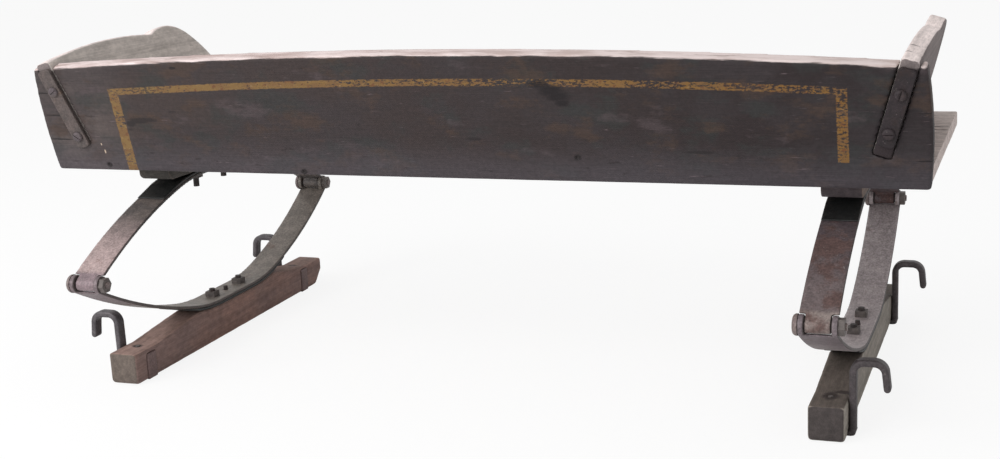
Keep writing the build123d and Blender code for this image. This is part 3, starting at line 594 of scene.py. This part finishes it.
def seat_cutters(node):
    """Checks in the seat's ends, down from its top."""
    for side, places in seat_checks[node].items():
        for y, length in places:
            yield check_cutter(Vector((side * (half_bench + 1 * MM), y * MM, seat_top_z)), ends_in[side],
                               check_depth, length * MM, seat_check_gape)


def slotted_screws():
    """The straps' screws with the slots cut in their heads."""
    piece = closed_copy("strap_screws", "strap_screws_slotted")
    for i, (x, up) in enumerate(screw_places):
        bpy.ops.mesh.primitive_cube_add(size=1)
        slot = bpy.context.object
        slot.matrix_world = (back @ Matrix.Translation((x * MM, up * MM, screw_head_top))
                             @ Matrix.Rotation(slot_turn + slot_turn_step * i, 4, "Z")
                             @ Matrix.Diagonal((*slot_size, 1)))
        cut_out(piece, slot)
    return piece


def nail_heads():
    """Cut nails' heads, sunk in their dents in the backboard."""
    made = []
    for x, up in nail_places:
        bpy.ops.mesh.primitive_cylinder_add(vertices=12, radius=nail_radius, depth=nail_length)
        head = bpy.context.object
        head.matrix_world = back @ Matrix.Translation((x * MM, up * MM, -nail_length))
        apply_modifier(head, "BEVEL", width=nail_round, segments=2)
        made.append(head)
    for head in made:
        head.select_set(True)
    bpy.ops.object.transform_apply(location=True, rotation=True, scale=True)
    bpy.ops.object.join()
    bpy.context.object.name = "backboard_nails"
    bpy.ops.object.shade_smooth_by_angle(angle=smooth_angle)
    return bpy.context.object


node_body = {node: body for body, nodes in frame["record"]["behaviour"]["bodies"].items() for node in nodes}
node_slot = {part["node"]: part["material_slot"] for part in frame["record"]["subparts"]}

# each worn piece's material, and in millimetres its mesh spacing, its wear and the size of its wear
worn = {
    "backboard": (paint, 2.4, 0.3, 30),
    "seat_plank_front": (seat_wood, 2.2, 0.5, 30),
    "seat_plank_rear": (seat_wood, 2.7, 0.5, 30),
}
for side in SIDES:
    worn[f"cleat_{side}"] = (cleat_wood[side], 1.8, 0.4, 20)
    worn[f"side_panel_{side}"] = (panel_wood[side], 1.8, 0.2, 25)
    worn[f"runner_{side}"] = (runner_wood[side], 1.6, 0.6, 20)
    worn[f"strap_{side}"] = (strap_iron[side], 0.8, 0.08, 15)
    for end in ("rear", "front"):
        worn[f"hook_{end}_{side}"] = (hook_iron[side], 1.1, 0.25, 12)
cutters = {"backboard": backboard_cutters,
           "seat_plank_rear": lambda: seat_cutters("seat_plank_rear"),
           "seat_plank_front": lambda: seat_cutters("seat_plank_front")}
for node, (material, voxel, wear, wear_size) in worn.items():
    piece = worn_copy(node, voxel * MM, wear * MM, wear_size * MM)
    for cutter in cutters.get(node, tuple)():
        cut_out(piece, cutter)
    finish_piece(piece, material, node_slot[node])
    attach(piece, node_body[node])
    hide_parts(node)

screws = slotted_screws()
finish_piece(screws, screw_iron, node_slot["strap_screws"])
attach(screws, node_body["strap_screws"])
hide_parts("strap_screws")
nails = nail_heads()
finish_piece(nails, bolt_iron, node_slot["strap_screws"])
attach(nails, node_body["backboard"])

leaf_wear, leaf_wear_size = 0.12 * MM, 12 * MM
# worn copies of the leaves, baked in place where they lie
for side in SIDES:
    for level, bodies, start, end in (("lower", ("runners", "spring_ends"), lower_face_z, ear_low_z),
                                      ("upper", ("spring_ends", "seat"), ear_high_z, upper_face_z)):
        main, helper = f"{level}_leaf_{side}", f"{level}_helper_leaf_{side}"
        for node, material, voxel in ((main, leaf_iron[main], 1.35), (helper, helper_shade_iron, 1.1)):
            piece = worn_copy(node, voxel * MM, leaf_wear, leaf_wear_size)
            finish_piece(piece, material, node_slot[node])
            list(bodies)
            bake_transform(piece)
            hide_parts(node)

for node, solid in frame["nodes"].items():
    if node not in worn and node != "strap_screws" and "leaf" not in node:
        solid.data.materials.clear()
        solid.data.materials.append(eye_iron if node.startswith("eye_bolt") else bolt_iron)

# ------------------------------------------------------------------ floor, light and camera
floor_white = 0.86                               # how far a camera sees the floor as white, over its shading
world_light = 0.60
lamp_at = Vector((-1.2, -2.2, 1.6))
lamp_aim = Vector((0.1, 0, 0.2))
lamp_width, lamp_height, lamp_watts = 2.4, 1.8, 62
camera_at = (0.6639, -1.7782, 0.6027)
camera_lens, camera_shift = 54.2, (0.0013, 0.0016)
yaw, pitch, roll = (math.radians(a) for a in (20.92, 13.144, -2.812))

bpy.ops.mesh.primitive_plane_add(size=40, location=(0, 0, 0))
floor = bpy.context.object
floor.name = "studio_floor"
tree, floor_paper = new_material("white_studio_paper")
rays = tree.nodes.new("ShaderNodeLightPath")
paper = add(tree, "ShaderNodeBsdfDiffuse", {"Color": linear("#ffffff")})
glow = add(tree, "ShaderNodeEmission", {"Color": (1, 1, 1, 1), "Strength": 1.0})
lit = add(tree, "ShaderNodeMath", {0: rays.outputs["Is Camera Ray"], 1: floor_white}, operation="MULTIPLY")
shown = add(tree, "ShaderNodeMixShader", {0: lit, 1: paper, 2: glow})
tree.links.new(shown, tree.nodes.new("ShaderNodeOutputMaterial").inputs["Surface"])
floor.data.materials.append(floor_paper)

world = bpy.data.worlds.new("studio")
bpy.context.scene.world = world
world.use_nodes = True
sky = world.node_tree
sky.nodes.clear()
rays = sky.nodes.new("ShaderNodeLightPath").outputs
seen = add(sky, "ShaderNodeMath", {0: rays["Is Camera Ray"], 1: rays["Is Glossy Ray"]}, operation="MAXIMUM")
plain = add(sky, "ShaderNodeBackground", {"Color": (1, 1, 1, 1), "Strength": world_light})
white = add(sky, "ShaderNodeBackground", {"Color": (1, 1, 1, 1), "Strength": 1.0})
shown = add(sky, "ShaderNodeMixShader", {0: seen, 1: plain, 2: white})
sky.links.new(shown, sky.nodes.new("ShaderNodeOutputWorld").inputs["Surface"])

lamp_data = bpy.data.lights.new("softbox", "AREA")
lamp_data.shape = "RECTANGLE"
lamp_data.size = lamp_width
lamp_data.size_y = lamp_height
lamp_data.energy = lamp_watts
lamp = bpy.data.objects.new("softbox", lamp_data)
aim = (lamp_at - lamp_aim).to_track_quat("Z", "Y")
lamp.matrix_world = Matrix.Translation(lamp_at) @ aim.to_matrix().to_4x4()
bpy.context.scene.collection.objects.link(lamp)

camera_data = bpy.data.cameras.new("camera")
camera_data.sensor_fit = "HORIZONTAL"
camera_data.sensor_width = 36.0
camera_data.lens = camera_lens
camera_data.shift_x, camera_data.shift_y = camera_shift
camera = bpy.data.objects.new("camera", camera_data)
bpy.context.scene.collection.objects.link(camera)
turn = Euler((math.pi / 2 - pitch, 0, yaw)).to_matrix() @ Euler((0, 0, roll)).to_matrix()
camera.matrix_world = Matrix.Translation(camera_at) @ turn.to_4x4()
bpy.context.scene.camera = camera

bpy.context.scene.view_settings.view_transform = "Standard"
